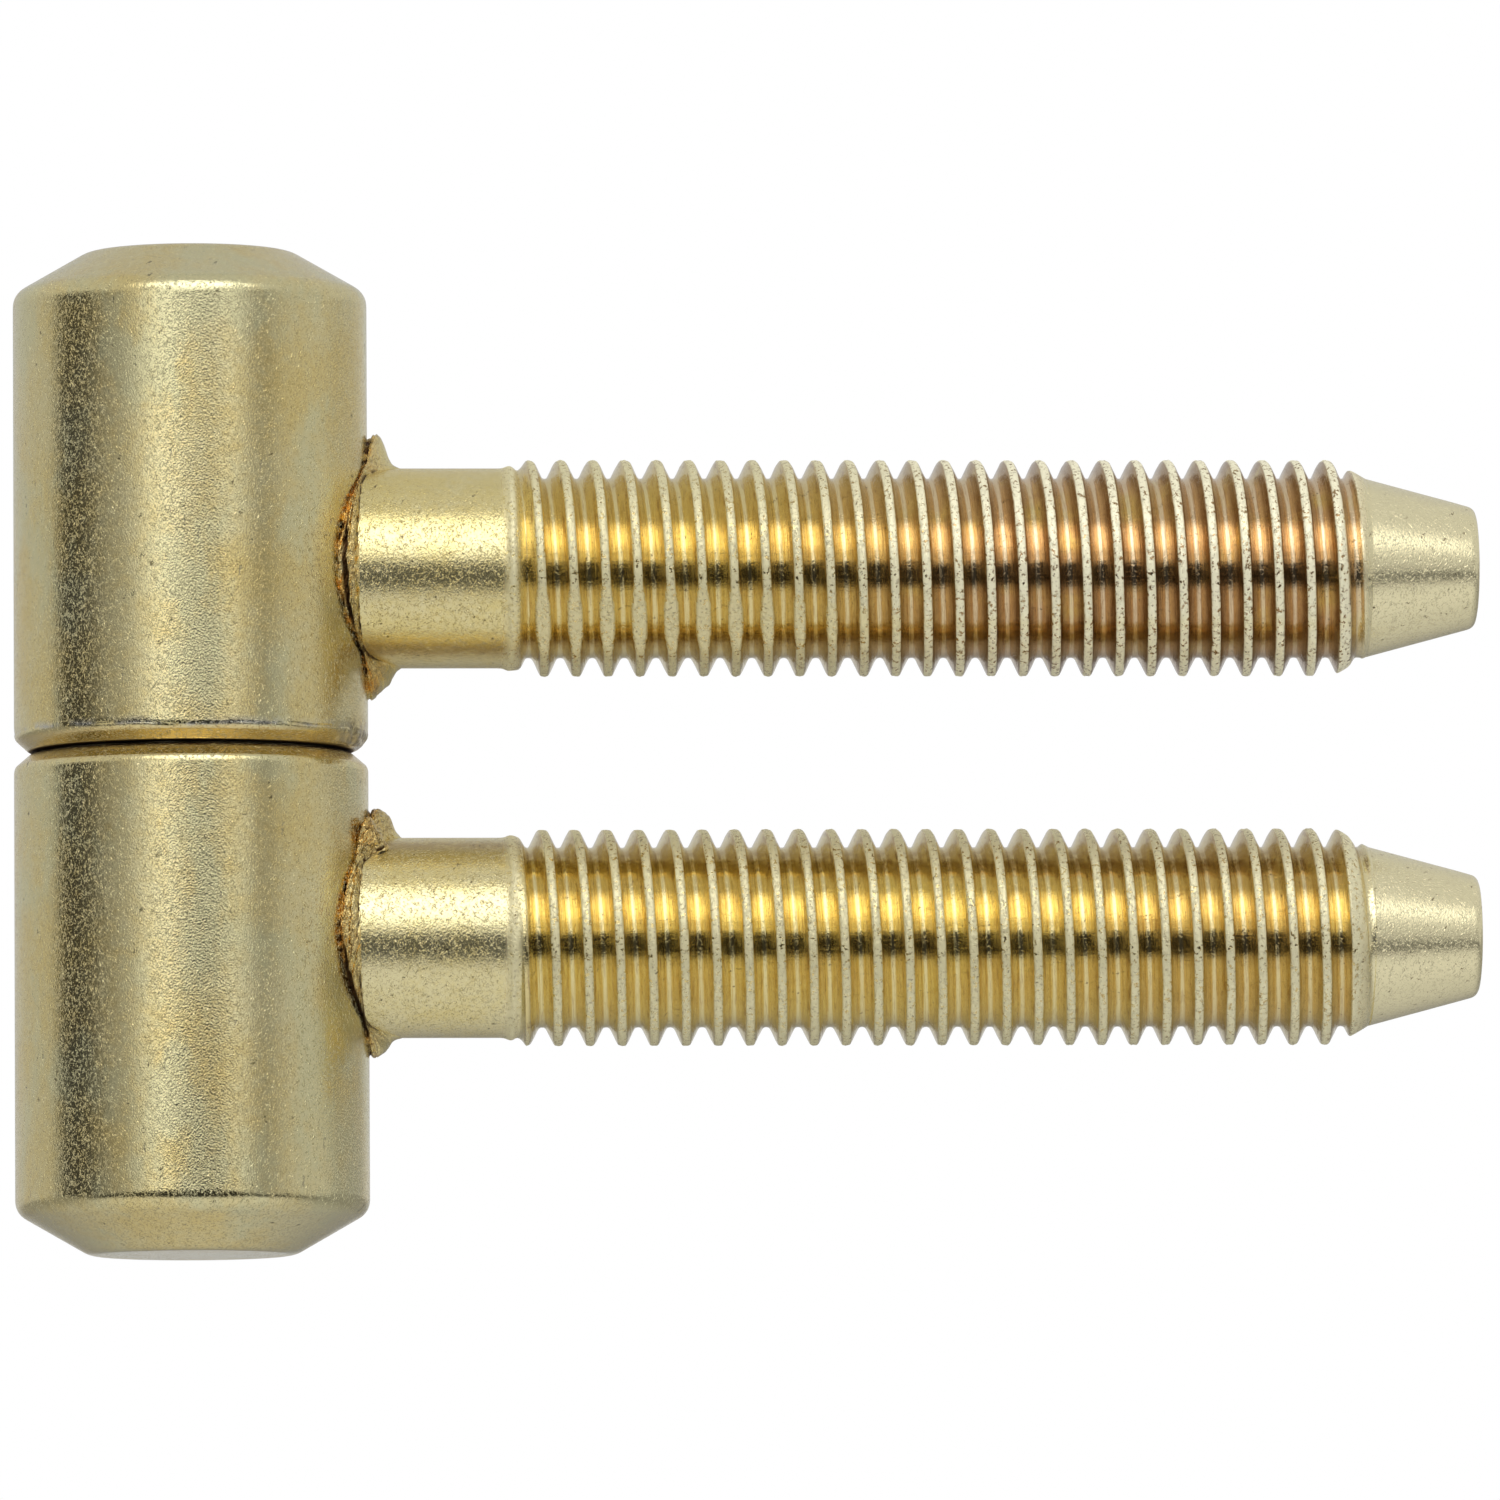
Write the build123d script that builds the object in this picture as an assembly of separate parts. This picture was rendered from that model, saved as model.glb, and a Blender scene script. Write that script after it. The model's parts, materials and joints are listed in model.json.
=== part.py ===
from build123d import *

import os
from math import radians, sin, tan

# Two-part screw-in door hinge: two turned barrels on one pin, each with a stem that screws into the wood.
# The frame half stays on the door frame and holds the pressed-in pin. The leaf half goes with the door: it
# turns on the pin, rides on a steel ball at the pin's head and lifts off upwards.
# Millimetres. The origin is on the axis of the frame half's stem, where its plain shank ends and its threaded
# length begins. +X runs along that stem to its tip, and +Z upwards, along the hinge axis.

# Barrels
barrel_diameter = 16.0
barrel_height = 22.6
closed_end_wall = 5.2  # metal between the drilled point of a bore and the closed end
seam_gap = 0.2  # hairline between the two barrels, kept open by the ball
collar_to_face = 2.3  # from the edge of a weld collar to the open face of its barrel
end_shoulder_width = 3.35  # sloped ring round the flat of a closed end
end_slope = 30.0  # degrees between that ring and the flat
end_shoulder_radius = 1.3  # round between ring and cylinder
rim_width = 0.62  # broken outer edge of an open face, along the face
rim_height = 0.88  # and along the barrel
bore_mouth_chamfer = 0.5
drill_point_angle = 118.0  # degrees, at the bottom of both bores and in the pin's head

# Pin and ball
pin_diameter = 8.0
pin_foot_space = 0.5  # drilled depth left free under the pressed-in pin
pin_foot_chamfer = 0.8
pin_head_chamfer = 0.7
pin_running_clearance = 0.05  # radial, pin in the leaf barrel
ball_inset = 1.0  # from the pin's radius in to the ball's
ball_seat_rim = 0.6  # flat ring round the drilled seat in the pin's head
ball_clearance = 0.05  # from the ball to its seats in the pin and in the leaf barrel

# Stems
shank_diameter = 9.05
shank_length = 6.3  # plain length between barrel and thread
thread_diameter = 9.86
thread_depth = 0.88
thread_start_slope = 45.0  # degrees from the stem's axis, where the thread rises from the shank
thread_end_slope = 30.0  # degrees from the stem's axis, where the thread runs out to the tip
stem_length = 50.3  # from barrel to tip
tip_length = 5.0
tip_slope = 15.0  # degrees from the stem's axis
tip_edge_chamfer = 0.3

# Weld collars, the metal squeezed out round the foot of each stem
weld_height = 1.4  # above the barrel's round
weld_lip = 0.55  # thickness of the collar's outer edge
weld_step = 0.12  # height at which the flare ends on the shank
weld_reach_along = 1.45  # beyond the shank, along the barrel
weld_reach_across = 0.35  # beyond the shank, across the barrel

# Radii and places that follow from those sizes
barrel_radius = barrel_diameter / 2
pin_radius = pin_diameter / 2
ball_radius = pin_radius - ball_inset
shank_radius = shank_diameter / 2
thread_radius = thread_diameter / 2
collar_radius = shank_radius + weld_reach_along
stem_to_face = collar_radius + collar_to_face
hinge_height = 2 * barrel_height + seam_gap
hinge_axis_x = -(barrel_radius + shank_length)
frame_stem_z = 0.0
frame_face_z = frame_stem_z + stem_to_face
leaf_face_z = frame_face_z + seam_gap
leaf_stem_z = leaf_face_z + stem_to_face

# The leaf bore's drilled point sets the ball, the ball sets the pin's head, and the frame bore sets its foot
half_point = radians(drill_point_angle / 2)
bore_apex = barrel_height - closed_end_wall
leaf_bore_radius = pin_radius + pin_running_clearance
leaf_bore_depth = bore_apex - leaf_bore_radius / tan(half_point)
frame_bore_depth = bore_apex - pin_radius / tan(half_point)
ball_to_apex = (ball_radius + ball_clearance) / sin(half_point)
ball_seat_radius = pin_radius - pin_head_chamfer - ball_seat_rim
ball_seat_depth = ball_seat_radius / tan(half_point)
ball_z = leaf_face_z + bore_apex - ball_to_apex
pin_head_z = ball_z - ball_to_apex + ball_seat_depth
pin_foot_z = frame_face_z - frame_bore_depth + pin_foot_space


def corner(face, x, y):
    """The vertex of a sketched face that lies at (x, y)."""
    return face.vertices().sort_by_distance((x, y, 0))[0]


def turned_on_hinge_axis(face, z):
    """Solid of a half section whose x is the radius and whose y is the height above z."""
    return Pos(hinge_axis_x, 0, z) * revolve(Plane.XZ * face, Axis.Z)


def turned_on_stem_axis(face, z):
    """Solid of a half section whose x is the place along X and whose y is the radius about a stem at z."""
    return Pos(0, 0, z) * revolve(Plane.XZ * face, Axis.X)


def barrel_round(radius):
    """Cylinder on the hinge axis, as high as the whole hinge."""
    return Pos(hinge_axis_x, 0, frame_face_z + seam_gap / 2) * Cylinder(radius, hinge_height)


def barrel_section(bore_radius, bore_depth):
    """Half section of a barrel, from its open face at y = 0 to its closed end."""
    end_flat = barrel_radius - end_shoulder_width
    shoulder = barrel_height - end_shoulder_width * tan(radians(end_slope))
    outline = Polyline(
        (0, bore_apex),
        (bore_radius, bore_depth),
        (bore_radius, bore_mouth_chamfer),
        (bore_radius + bore_mouth_chamfer, 0),
        (barrel_radius - rim_width, 0),
        (barrel_radius, rim_height),
        (barrel_radius, shoulder),
        (end_flat, barrel_height),
        (0, barrel_height),
        close=True,
    )
    return fillet(corner(make_face(outline), barrel_radius, shoulder), end_shoulder_radius)


def make_leaf_barrel():
    """Upper barrel: turned from bar, closed at the top, bored from below for the pin and the ball."""
    return turned_on_hinge_axis(barrel_section(leaf_bore_radius, leaf_bore_depth), leaf_face_z)


def make_frame_barrel():
    """Lower barrel: the same form upside down, bored to the pin's own size."""
    upside_down = mirror(barrel_section(pin_radius, frame_bore_depth), Plane.XZ)
    return turned_on_hinge_axis(upside_down, frame_face_z)


def make_hinge_pin():
    """Pin: both ends chamfered, with a drilled seat for the ball in its head."""
    length = pin_head_z - pin_foot_z
    outline = Polyline(
        (0, 0),
        (pin_radius - pin_foot_chamfer, 0),
        (pin_radius, pin_foot_chamfer),
        (pin_radius, length - pin_head_chamfer),
        (pin_radius - pin_head_chamfer, length),
        (ball_seat_radius, length),
        (0, length - ball_seat_depth),
        close=True,
    )
    return turned_on_hinge_axis(make_face(outline), pin_foot_z)


def make_thrust_ball():
    """Ball that carries the door, between the drilled seats of the pin's head and the leaf bore."""
    return Pos(hinge_axis_x, 0, ball_z) * Sphere(ball_radius)


def make_stem(stem_z):
    """Stem: plain shank, threaded length at its outer diameter, and a tapered tip that finds the hole.
    Its foot is hollowed to sit on the barrel's round."""
    root_radius = thread_radius - thread_depth
    tip_radius = root_radius - tip_length * tan(radians(tip_slope))
    tip_x = stem_length - shank_length
    taper_x = tip_x - tip_length
    rise = abs(thread_radius - shank_radius) / tan(radians(thread_start_slope))
    run_out = thread_depth / tan(radians(thread_end_slope))
    outline = Polyline(
        (hinge_axis_x, 0),
        (hinge_axis_x, shank_radius),
        (-rise, shank_radius),
        (0, thread_radius),
        (taper_x - run_out, thread_radius),
        (taper_x, root_radius),
        (tip_x, tip_radius),
        (tip_x, 0),
        close=True,
    )
    face = chamfer(corner(make_face(outline), tip_x, tip_radius), tip_edge_chamfer)
    return turned_on_stem_axis(face, stem_z) - barrel_round(barrel_radius)


def make_weld_collar(stem_z):
    """Metal squeezed out where the stem was pressed hot onto the barrel: an oval lip lies on the barrel's
    round, and a sloped flare runs from it to the shank. It reaches further along the barrel than across it."""
    crown_x = hinge_axis_x + barrel_radius
    flare = (weld_height - weld_lip) / (weld_reach_along - weld_step)
    blank_radius = collar_radius + weld_reach_across
    outline = Polyline(
        (hinge_axis_x, 0),
        (crown_x + weld_height, 0),
        (crown_x + weld_height, shank_radius + weld_step),
        (crown_x + weld_lip - flare * weld_reach_across, blank_radius),
        (hinge_axis_x, blank_radius),
        close=True,
    )
    flared = turned_on_stem_axis(make_face(outline), stem_z)
    foot = Plane(origin=(hinge_axis_x, 0, stem_z), x_dir=(0, 1, 0), z_dir=(1, 0, 0))
    oval = foot * Ellipse(shank_radius + weld_reach_across, collar_radius)
    shank = foot * Circle(shank_radius)
    reach = barrel_radius + weld_height
    collar = flared & extrude(oval, reach) & barrel_round(reach)
    return collar - barrel_round(barrel_radius) - extrude(shank, reach)


parts = {
    "frame_barrel": make_frame_barrel(),
    "frame_stem": make_stem(frame_stem_z),
    "frame_weld_collar": make_weld_collar(frame_stem_z),
    "hinge_pin": make_hinge_pin(),
    "thrust_ball": make_thrust_ball(),
    "leaf_barrel": make_leaf_barrel(),
    "leaf_stem": make_stem(leaf_stem_z),
    "leaf_weld_collar": make_weld_collar(leaf_stem_z),
}

os.makedirs("parts", exist_ok=True)
for name, shape in parts.items():
    export_step(shape, f"parts/{name}.step")
    print(f"{name}: {shape.volume:.1f} mm3")

print(f"stems at z {frame_stem_z:.3f} and {leaf_stem_z:.3f}, hinge axis at x {hinge_axis_x:.3f}")
print(f"pin from z {pin_foot_z:.3f} to {pin_head_z:.3f}, seam at z {frame_face_z:.3f}, ball at z {ball_z:.3f}")
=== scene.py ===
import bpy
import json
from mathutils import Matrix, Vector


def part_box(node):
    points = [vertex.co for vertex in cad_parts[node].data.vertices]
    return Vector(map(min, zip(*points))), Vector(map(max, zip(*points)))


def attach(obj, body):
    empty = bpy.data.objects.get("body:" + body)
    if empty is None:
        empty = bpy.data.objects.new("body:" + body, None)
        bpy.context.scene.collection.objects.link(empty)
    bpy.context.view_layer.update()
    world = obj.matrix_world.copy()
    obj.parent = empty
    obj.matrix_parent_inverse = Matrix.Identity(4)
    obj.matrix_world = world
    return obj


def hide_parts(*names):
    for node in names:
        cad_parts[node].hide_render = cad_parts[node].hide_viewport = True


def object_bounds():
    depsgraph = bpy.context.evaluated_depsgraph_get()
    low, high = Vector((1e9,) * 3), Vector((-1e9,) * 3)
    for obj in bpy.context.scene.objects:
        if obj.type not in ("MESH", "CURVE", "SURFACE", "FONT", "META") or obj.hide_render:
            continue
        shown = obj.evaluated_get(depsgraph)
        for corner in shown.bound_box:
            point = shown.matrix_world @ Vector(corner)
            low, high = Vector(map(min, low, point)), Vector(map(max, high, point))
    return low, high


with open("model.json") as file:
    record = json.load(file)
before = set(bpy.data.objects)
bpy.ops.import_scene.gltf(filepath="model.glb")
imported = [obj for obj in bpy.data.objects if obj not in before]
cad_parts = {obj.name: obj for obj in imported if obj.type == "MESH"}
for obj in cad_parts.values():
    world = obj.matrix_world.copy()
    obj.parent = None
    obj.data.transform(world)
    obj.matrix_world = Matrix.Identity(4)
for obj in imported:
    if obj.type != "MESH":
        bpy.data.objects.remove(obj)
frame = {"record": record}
cad_box = [[float(v) for v in corner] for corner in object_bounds()]
print("CAD box, m:", cad_box)

# %% [markdown]
# ## Sizes
# A hinge is measured in millimetres, so the shapes are worked out in millimetres and scaled once, when a
# mesh is made. Places and main sizes could be typed in again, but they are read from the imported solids, so
# that the skin fits by itself. Finer sizes are named where they are first needed.
# %% Read the main sizes
import bmesh
import bpy
import numpy as np

MM = 0.001


def box_mm(node):
    """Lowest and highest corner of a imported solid, in millimetres."""
    return np.array(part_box(node), float) / MM


leaf_low, leaf_high = box_mm("leaf_barrel")
hinge_x = (leaf_low[0] + leaf_high[0]) / 2
barrel_radius = (leaf_high[0] - leaf_low[0]) / 2
barrel_height = leaf_high[2] - leaf_low[2]
print(f"hinge axis at x {hinge_x:.2f}, barrels {2 * barrel_radius:.2f} x {barrel_height:.2f} mm")

# %% [markdown]
# ## From a grid of points to a skin
# Every piece is round about an axis, so its skin is a grid: rows run along it and columns run round it.
# Blender could spin or screw a profile, but a grid lets thread turns, dents and weld lumps be plain formulas.
# The last column lies on the first one, and a row of radius nought is a pole, so merging doubled points
# closes the skin. Named marks, such as where a crest is bare, ride along for the finishes.
# %% Skin from a grid
doubled_within, no_length = 1e-7, 1e-8  # metres


def placed(data):
    """A new object of the scene that shows data, under the same name."""
    thing = bpy.data.objects.new(data.name, data)
    bpy.context.scene.collection.objects.link(thing)
    return thing


def skin(name, points, uv, marks=None, sharp=35):
    """Mesh object of a grid of points (rows, columns, 3) in mm: each cell is a quad, doubled points are
    merged, and normals point outwards. uv is a grid too, marks are named grids of numbers, and edges that
    bend by more than sharp degrees stay sharp."""
    rows, columns = points.shape[:2]
    number = np.arange(rows * columns).reshape(rows, columns)
    cells = (number[:-1, :-1], number[:-1, 1:], number[1:, 1:], number[1:, :-1])
    quads = np.stack(cells, -1).reshape(-1, 4)
    mesh = bpy.data.meshes.new(name)
    mesh.vertices.add(rows * columns)
    mesh.vertices.foreach_set("co", (points * MM).astype(np.float32).ravel())
    mesh.loops.add(quads.size)
    mesh.loops.foreach_set("vertex_index", quads.ravel().astype(np.int32))
    mesh.polygons.add(len(quads))
    mesh.polygons.foreach_set("loop_start", np.arange(0, quads.size, 4, dtype=np.int32))
    mesh.update(calc_edges=True)
    layer = mesh.uv_layers.new(name="UVMap")
    layer.data.foreach_set("uv", uv.reshape(-1, 2)[quads.ravel()].astype(np.float32).ravel())
    for mark, values in (marks or {}).items():
        attribute = mesh.attributes.new(mark, "FLOAT", "POINT")
        spread = np.broadcast_to(values, (rows, columns)).astype(np.float32)
        attribute.data.foreach_set("value", spread.ravel())
    work = bmesh.new()
    work.from_mesh(mesh)
    bmesh.ops.remove_doubles(work, verts=work.verts, dist=doubled_within)
    bmesh.ops.dissolve_degenerate(work, edges=work.edges, dist=no_length)
    bmesh.ops.recalc_face_normals(work, faces=work.faces)
    work.to_mesh(mesh)
    work.free()
    mesh.polygons.foreach_set("use_smooth", np.ones(len(mesh.polygons), dtype=bool))
    mesh.set_sharp_from_angle(angle=np.radians(sharp))
    print(f"{name}: {len(mesh.loops) - 2 * len(mesh.polygons)} triangles")
    return placed(mesh)


# %% [markdown]
# ## Soft corners and gentle unevenness
# No edge of a used hinge is sharp, and no round is perfect. A modifier could bevel the edges afterwards, but
# thread and weld need their rounding inside the formulas, so small helpers give it to every piece.
# %% Helpers for rounded sections and unevenness


def eased(low, high, value):
    """0 below low, 1 above high, and a smooth rise between them."""
    t = np.clip((value - low) / (high - low), 0, 1)
    return t * t * (3 - 2 * t)


def bell(distance, width):
    """1 where distance is nought, falling away on both sides like a bell of that width."""
    return np.exp(-((distance / width) ** 2))


def soft_least(a, b, blend):
    """The lesser of a and b, with the corner where they cross rounded over about blend."""
    return (a + b - np.sqrt((a - b) ** 2 + blend**2)) / 2


def soft_greatest(a, b, blend):
    """The greater of a and b, rounded likewise."""
    return -soft_least(-a, -b, blend)


def bent(start, corner, end, steps):
    """One parabola for each row: it leaves start towards corner, and comes from corner into end."""
    s = np.linspace(0, 1, steps)[None, :, None]
    curve = (1 - s) ** 2 * start[:, None] + 2 * s * (1 - s) * corner[:, None] + s**2 * end[:, None]
    return curve.reshape(-1, corner.shape[1])


def rounded(corners, trims, steps=9):
    """Section line through corners (n, 2), each of them bent from its trim before it to its trim after it."""
    corners = np.array(corners, float)
    trims = np.array(trims, float)[:, None]

    def trimmed(neighbours):
        way = neighbours - corners
        return corners + trims * way / np.maximum(np.linalg.norm(way, axis=1), 1e-9)[:, None]

    before = trimmed(np.vstack((corners[:1], corners[:-1])))
    after = trimmed(np.vstack((corners[1:], corners[-1:])))
    return bent(before, corners, after, steps)


def with_rows(section, step=0.25):
    """The same section line with rows added, none further than step from the next."""
    length = np.concatenate(([0], np.cumsum(np.linalg.norm(np.diff(section, axis=0), axis=1))))
    places = np.union1d(length, np.arange(0, length[-1], step))
    return np.column_stack([np.interp(places, length, section[:, side]) for side in (0, 1)])


def ripple(turn, seed, waves=(2, 3, 5, 7, 11, 17)):
    """Unevenness from -1 to 1 that closes on itself once round: a sum of sines with phases from the seed."""
    total = sum(np.sin(2 * np.pi * (n * turn + 0.618 * seed * n * n)) / n**0.5 for n in waves)
    return total / sum(1 / n**0.5 for n in waves)


def once_round(columns):
    """Turn from 0 to 1 and angle from 0 to a full circle, as one row each."""
    turn = np.linspace(0, 1, columns + 1)[None, :]
    return turn, 2 * np.pi * turn


def carried_round(radius, z, turn):
    """Points and uv of rows of radius and height, carried round the hinge axis."""
    angle = 2 * np.pi * turn
    z = z + 0 * turn
    points = np.stack((hinge_x + radius * np.cos(angle), radius * np.sin(angle), z), -1)
    uv = np.stack((turn + 0 * z, np.linspace(0, 1, len(z))[:, None] + 0 * turn), -1)
    return points, uv


# %% [markdown]
# ## Barrels
# A barrel is turned from bar: a flat closed end with a sloped, rounded shoulder, a plain cylinder, and an
# open face with a bore for the pin. A lathe profile carried round the hinge axis is the same operation. The
# edges at the seam are bevelled, and the leaf barrel's was burred over and chewed, which left a wavering
# crease above it.
# %% Barrel sections
end_flat_radius = 4.65
end_slope = 30
end_wall = 5.2  # metal between the bore's drilled point and the closed end
bore_mouth = 0.5
bore_apex = barrel_height - end_wall
drill_half_angle = np.radians(59)
facet_lean = np.tan(np.radians(17))
face_land = 0.05  # the open face stands this much proud of the solid, which leaves a hairline seam
pin_low, pin_high = box_mm("hinge_pin")
pin_radius = (pin_high[0] - pin_low[0]) / 2
running_clearance = 0.05


def barrel_section(bore_radius, rim_width, rim_height, facet_height):
    """Half section (radius, height above the open face), from the middle of the closed end over the outside
    and the open face up the bore to its point. A narrow facet eases the rim into the cylinder."""
    shoulder = barrel_height - (barrel_radius - end_flat_radius) * np.tan(np.radians(end_slope))
    bore_depth = bore_apex - bore_radius / np.tan(drill_half_angle)
    corners = (
        (0, barrel_height),
        (end_flat_radius, barrel_height),
        (barrel_radius, shoulder),
        (barrel_radius, rim_height + facet_height),
        (barrel_radius - facet_height * facet_lean, rim_height),
        (barrel_radius - rim_width, -face_land),
        (bore_radius + bore_mouth, -face_land),
        (bore_radius, bore_mouth),
        (bore_radius, bore_depth),
        (0, bore_apex),
    )
    facet_trim = 0.48 * facet_height
    trims = (0, 0.36, 0.56, facet_trim, facet_trim, 0.16, 0.12, 0.12, 0.2, 0)
    return with_rows(rounded(corners, trims))


# %% Barrel surface
crease_height, crease_waver, crease_width = 0.74, 0.16, 0.07
burr_width = 0.11
rim_middle = 0.35
smeared_turn, smeared_width = 346, 19  # degrees; metal was smeared over the burred edge here
smeared_lumps = 0.09
heat_full, heat_end = 4.6, 9.5  # from the stem's axis


def barrel_grid(section, open_z, up, stem_z, seed, crease_depth, around=256):
    """Points, uv and marks of a section carried round the hinge axis; up is 1 for the leaf barrel and -1 for
    the other. Where the rim was burred over, a wavering crease runs round just above it, a dip in the radius.
    The edge is chewed in places, and smeared metal fills it at one spot."""
    turn, angle = once_round(around)
    radius = section[:, :1] + 0 * turn
    height = section[:, 1:] + 0 * turn
    outside = eased(barrel_radius - 1, barrel_radius - 0.5, radius)
    near_rim = bell(height - rim_middle, rim_middle)
    crease_at = crease_height + crease_waver * ripple(turn, seed, (2, 5, 9, 14, 23))
    crease = bell(height - crease_at, crease_width) * outside
    radius = radius - crease * crease_depth * (0.6 + ripple(turn, seed + 0.7, (5, 9, 14, 23, 31)))
    chewed = eased(0.25, 0.8, ripple(turn, seed + 1.9, (1, 3, 8, 19, 37))) * near_rim * outside
    radius = radius - 1.5 * crease_depth * chewed
    off_smear = (np.degrees(angle) - smeared_turn + 180) % 360 - 180
    smeared = bell(off_smear, smeared_width) * (crease_depth > 0)
    filled = smeared * eased(barrel_radius - 0.64, barrel_radius - 0.46, radius) * (height < 1)
    radius = radius + 0.75 * filled * np.maximum(barrel_radius - 0.14 - radius, 0)
    lumpy = ripple(turn + 0.03 * height, seed + 0.3, (19, 37, 53, 71)) - 0.4
    radius = radius + smeared_lumps * lumpy * smeared * outside * near_rim
    z = open_z + up * height
    points, uv = carried_round(radius, z, turn)
    from_weld = np.hypot(points[..., 1], z - stem_z) + 20 * (points[..., 0] < hinge_x)
    open_face = eased(barrel_radius - 2.4, barrel_radius - 1.1, radius) * (1 - eased(-0.04, 0.02, height))
    marks = {
        "heat": 1 - eased(heat_full, heat_end, from_weld),
        "rim": bell(height - crease_at, burr_width) * outside * (crease_depth > 0),
        "bevel": outside * (1 - eased(0.4, 0.65, height)),
        # painted shade: a near-black ring at the outer edge of the open face, so the seam between the barrels
        # reads dark
        "painted_seam_shade": open_face,
        "grime": np.minimum(1.3 * smeared, 1) * outside * (1 - eased(0.5, 1.7, height)),
    }
    return points, uv, marks


leaf_stem_z = box_mm("leaf_stem")[:, 2].mean()
leaf_bore = pin_radius + running_clearance
leaf_section = barrel_section(leaf_bore, rim_width=0.66, rim_height=0.48, facet_height=0.22)
leaf_grid = barrel_grid(leaf_section, leaf_low[2], 1, leaf_stem_z, seed=1.3, crease_depth=0.025)
leaf_barrel = skin("leaf_barrel_turned", *leaf_grid)
frame_stem_z = box_mm("frame_stem")[:, 2].mean()
frame_top = box_mm("frame_barrel")[1, 2]
frame_section = barrel_section(pin_radius, rim_width=0.76, rim_height=0.55, facet_height=0.2)
frame_grid = barrel_grid(frame_section, frame_top, -1, frame_stem_z, seed=2.7, crease_depth=0)
frame_barrel = skin("frame_barrel_turned", *frame_grid)

# %% [markdown]
# ## Stems with a rolled thread
# The stem is bar of the shank's size. Rolling dies press the thread's roots in, and the metal that they push
# away rises to the crests, above the shank. Blender's Screw modifier could sweep a tooth, but its ends would
# stop dead. Here the rows of the grid lean along the helix: every row follows one depth of the tooth, which
# fades out towards the shank and is cut down by the taper towards the tip.
# %% Thread sizes
stem_mount = next(mount for mount in frame["record"]["mounts"] if mount["name"] == "leaf_stem")
thread_start = stem_mount["pos_m"][0] / MM
thread_radius = stem_mount["dims"]["r_mm"]
thread_end = thread_start + stem_mount["dims"]["length_mm"]
tip_x = box_mm("leaf_stem")[1, 0]
thread_depth = 0.88
root_radius = thread_radius - thread_depth
shank_radius = 4.525
shank_end = thread_start - 0.6
pitch = 1.448
crest_half, root_half = 0.115, 0.1  # half of the crest's flat and of the root's land, in pitches
crest_round, root_round = 0.12, 0.12
rise_from, rise_to = thread_start + 0.1, thread_start + 1.3  # where the crests come up
sink_from, sink_to = thread_start + 0.2, thread_start + 0.9  # where the roots go down
run_out_slope = np.tan(np.radians(30))
taper_x = thread_end + thread_depth / run_out_slope
tip_slope = np.tan(np.radians(15))
print(f"thread from x {thread_start:.2f} to {thread_end:.2f} mm, tip at {tip_x:.2f} mm")

# %% Shape of the tooth
bead_on, bead_height, bead_width = 0.1, 0.11, 0.22  # how far into the thread the bead lies, and its size
flank_waver = 0.008  # in pitches
crest_loss = 0.025  # worn off all crests
worn_wide, worn_fine = 0.03, 0.02  # unevenness of the wear


def flank(phase):
    """Radius of the straight sides of a tooth: they fall from the crest's edge by the thread's depth to the
    root's land, and run on beyond both."""
    from_crest = np.abs((phase + 0.5) % 1 - 0.5)
    fall = (from_crest - crest_half) / (0.5 - root_half - crest_half)
    return thread_radius - thread_depth * fall


def pressed_flat(x, angle, jaw_marks):
    """Radius left by clamp jaws that pressed the crests flat: each mark is a plane across the stem, and its
    distance from the axis over the cosine of the angle to its middle is the radius. It fades along x."""
    left = np.full(np.broadcast(x, angle).shape, 2 * thread_radius)
    for middle, depth, fade_from, fade_to in jaw_marks:
        reach = thread_radius - depth * (1 - eased(fade_from, fade_to, x))
        facing = np.maximum(np.cos(angle - np.radians(middle)), 0.3)
        left = np.minimum(left, reach / facing)
    return left


def stem_radius(x, turn, crest_at, seed, jaw_marks):
    """Radius of the stem, and how far the sides of the tooth run on above its crest. The shank ends in a
    small bead, the tooth rises over its first turn, and the run-out to the tip cuts the last turns down."""
    phase = (x - crest_at) / pitch - turn
    sides = flank(phase + flank_waver * ripple(turn + 0.21 * x, seed + 1, (7, 11, 19)))
    tooth = soft_greatest(sides, root_radius, root_round) - shank_radius
    rise = eased(rise_from, rise_to, x)
    sink = eased(sink_from, sink_to, x)
    bead = bead_height * bell(x - thread_start - bead_on, bead_width) * (1 - rise)
    threaded = shank_radius + rise * np.maximum(tooth, 0) + sink * np.minimum(tooth, 0) + bead
    worn = worn_wide * ripple(3 * turn + 1.7 * x, seed)
    worn = worn + worn_fine * ripple(turn + 0.37 * x, seed + 2, (5, 13, 29, 43))
    cap = np.minimum(thread_radius - crest_loss + worn, pressed_flat(x, 2 * np.pi * turn, jaw_marks))
    cap = np.minimum(cap, root_radius + np.maximum(taper_x - x, 0) * run_out_slope)
    over = threaded - cap
    return soft_least(threaded, cap, crest_round * eased(-0.3, 0, over)), over


# %% Stem surface
stem_columns = 128
shank_rows = 40
foot_shares = (0, 0.4, 0.8, 1)
half_pitch_phases = np.array((0, 0.06, 0.095, 0.12, 0.15, 0.2, 0.26, 0.32, 0.37, 0.41, 0.455))
pitch_phases = np.union1d(np.concatenate((half_pitch_phases, -half_pitch_phases)), (0.5,))
tip_round, tip_dish, tip_dent = 0.4, 0.1, 0.03
painted_shade_band_width = 8  # degrees


def from_front(angle):
    """Degrees round a stem, 180 in front, with the far half folded onto the near one."""
    degrees = np.degrees(angle)
    return np.where(np.cos(angle) < 0, degrees, (180 - degrees) % 360)


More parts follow.
